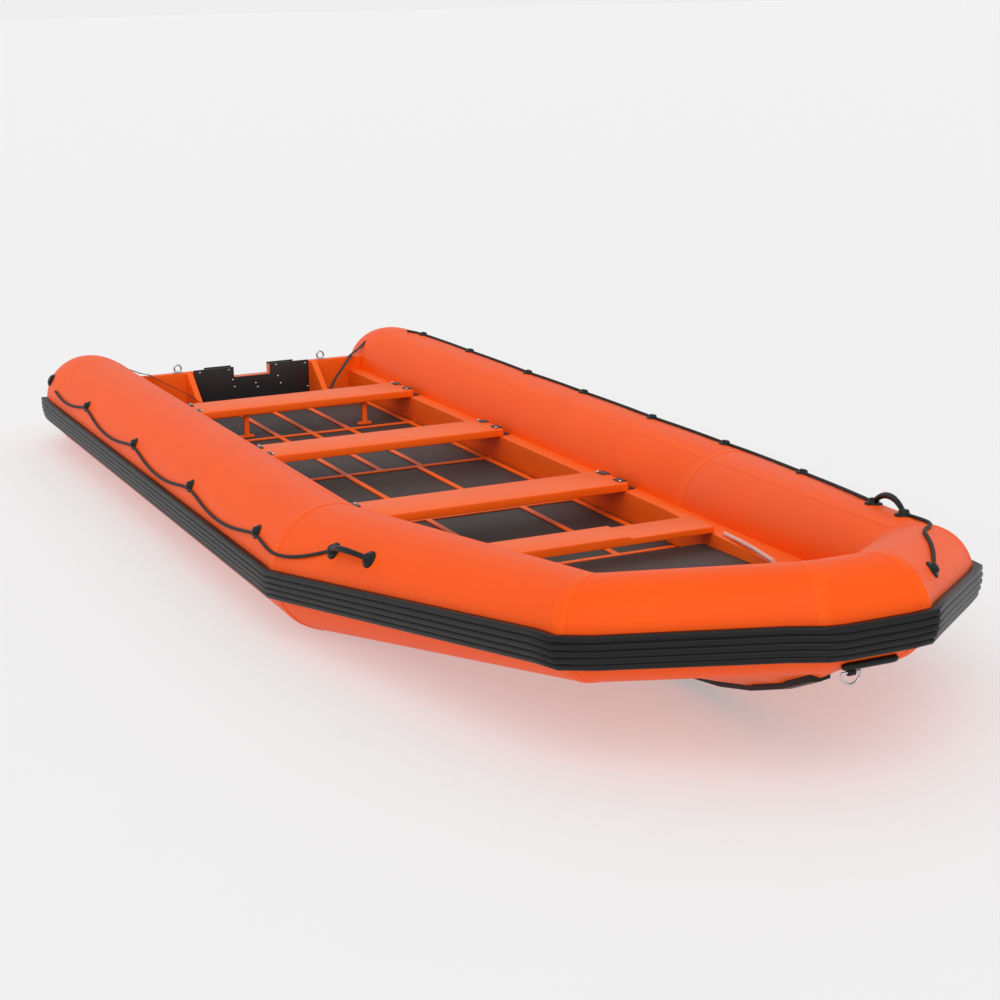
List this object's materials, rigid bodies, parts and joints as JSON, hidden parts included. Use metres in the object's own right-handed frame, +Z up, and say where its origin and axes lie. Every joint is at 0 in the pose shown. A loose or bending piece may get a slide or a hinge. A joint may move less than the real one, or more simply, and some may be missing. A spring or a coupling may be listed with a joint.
{
  "type": "rigid inflatable boat",
  "caption": "Open boat with an orange inflated collar round a shallow-V rigid hull, bolted thwarts, panelled floor, outboard transom, rub strakes, grab lines and a swinging tow ring.",
  "frame": {"origin": "on the ground under the centre of the boat's length and beam", "axes": "+X towards the bow, +Y to port, +Z up"},
  "size_m": [5.9296, 2.146, 0.628],
  "materials": {
    "collar": "orange coated fabric, satin",
    "hull_paint": "orange paint on aluminium",
    "rubber": "black moulded rubber",
    "panel": "dark non-slip floor panel",
    "plate": "black moulded plate",
    "line": "black braided line and webbing",
    "steel": "polished stainless steel"
  },
  "bodies": {
    "boat": {"tube_side_port": "collar", "tube_side_starboard": "collar", "tube_bow_port": "collar", "tube_bow_starboard": "collar", "tube_cheek_port": "collar", "tube_cheek_starboard": "collar", "tube_nose": "collar", "hull_bottom": "hull_paint", "transom_board": "hull_paint", "knee_port": "hull_paint", "knee_starboard": "hull_paint", "rail_port": "hull_paint", "rail_starboard": "hull_paint", "bow_locker": "hull_paint", "floor_frame": "hull_paint", "thwart_1": "hull_paint", "thwart_2": "hull_paint", "thwart_3": "hull_paint", "thwart_bow": "hull_paint", "thwart_post_port": "hull_paint", "thwart_post_starboard": "hull_paint", "strake_port": "rubber", "strake_starboard": "rubber", "keel_guard": "rubber", "tow_pad": "rubber", "bow_handle_port": "rubber", "bow_handle_starboard": "rubber", "valve_port": "rubber", "valve_starboard": "rubber", "floor_panels": "panel", "bow_panel": "panel", "motor_plate_inner": "plate", "motor_plate_outer": "plate", "thwart_clips_1_port": "plate", "thwart_clips_1_starboard": "plate", "thwart_clips_2_port": "plate", "thwart_clips_2_starboard": "plate", "thwart_clips_3_port": "plate", "thwart_clips_3_starboard": "plate", "grab_line_port": "line", "grab_line_starboard": "line", "bow_line_port": "line", "strap_port": "line", "strap_starboard": "line", "lifting_eye_port": "steel", "lifting_eye_starboard": "steel"},
    "tow_ring": {"tow_ring": "steel"}
  },
  "joints": [
    {"name": "tow_ring_swing", "type": "hinge", "parent": "boat", "child": "tow_ring", "pos_m": [2.8962, -0.062, 0.3406], "axis": [0, 1, 0], "range_deg": [-60, 60]}
  ]
}
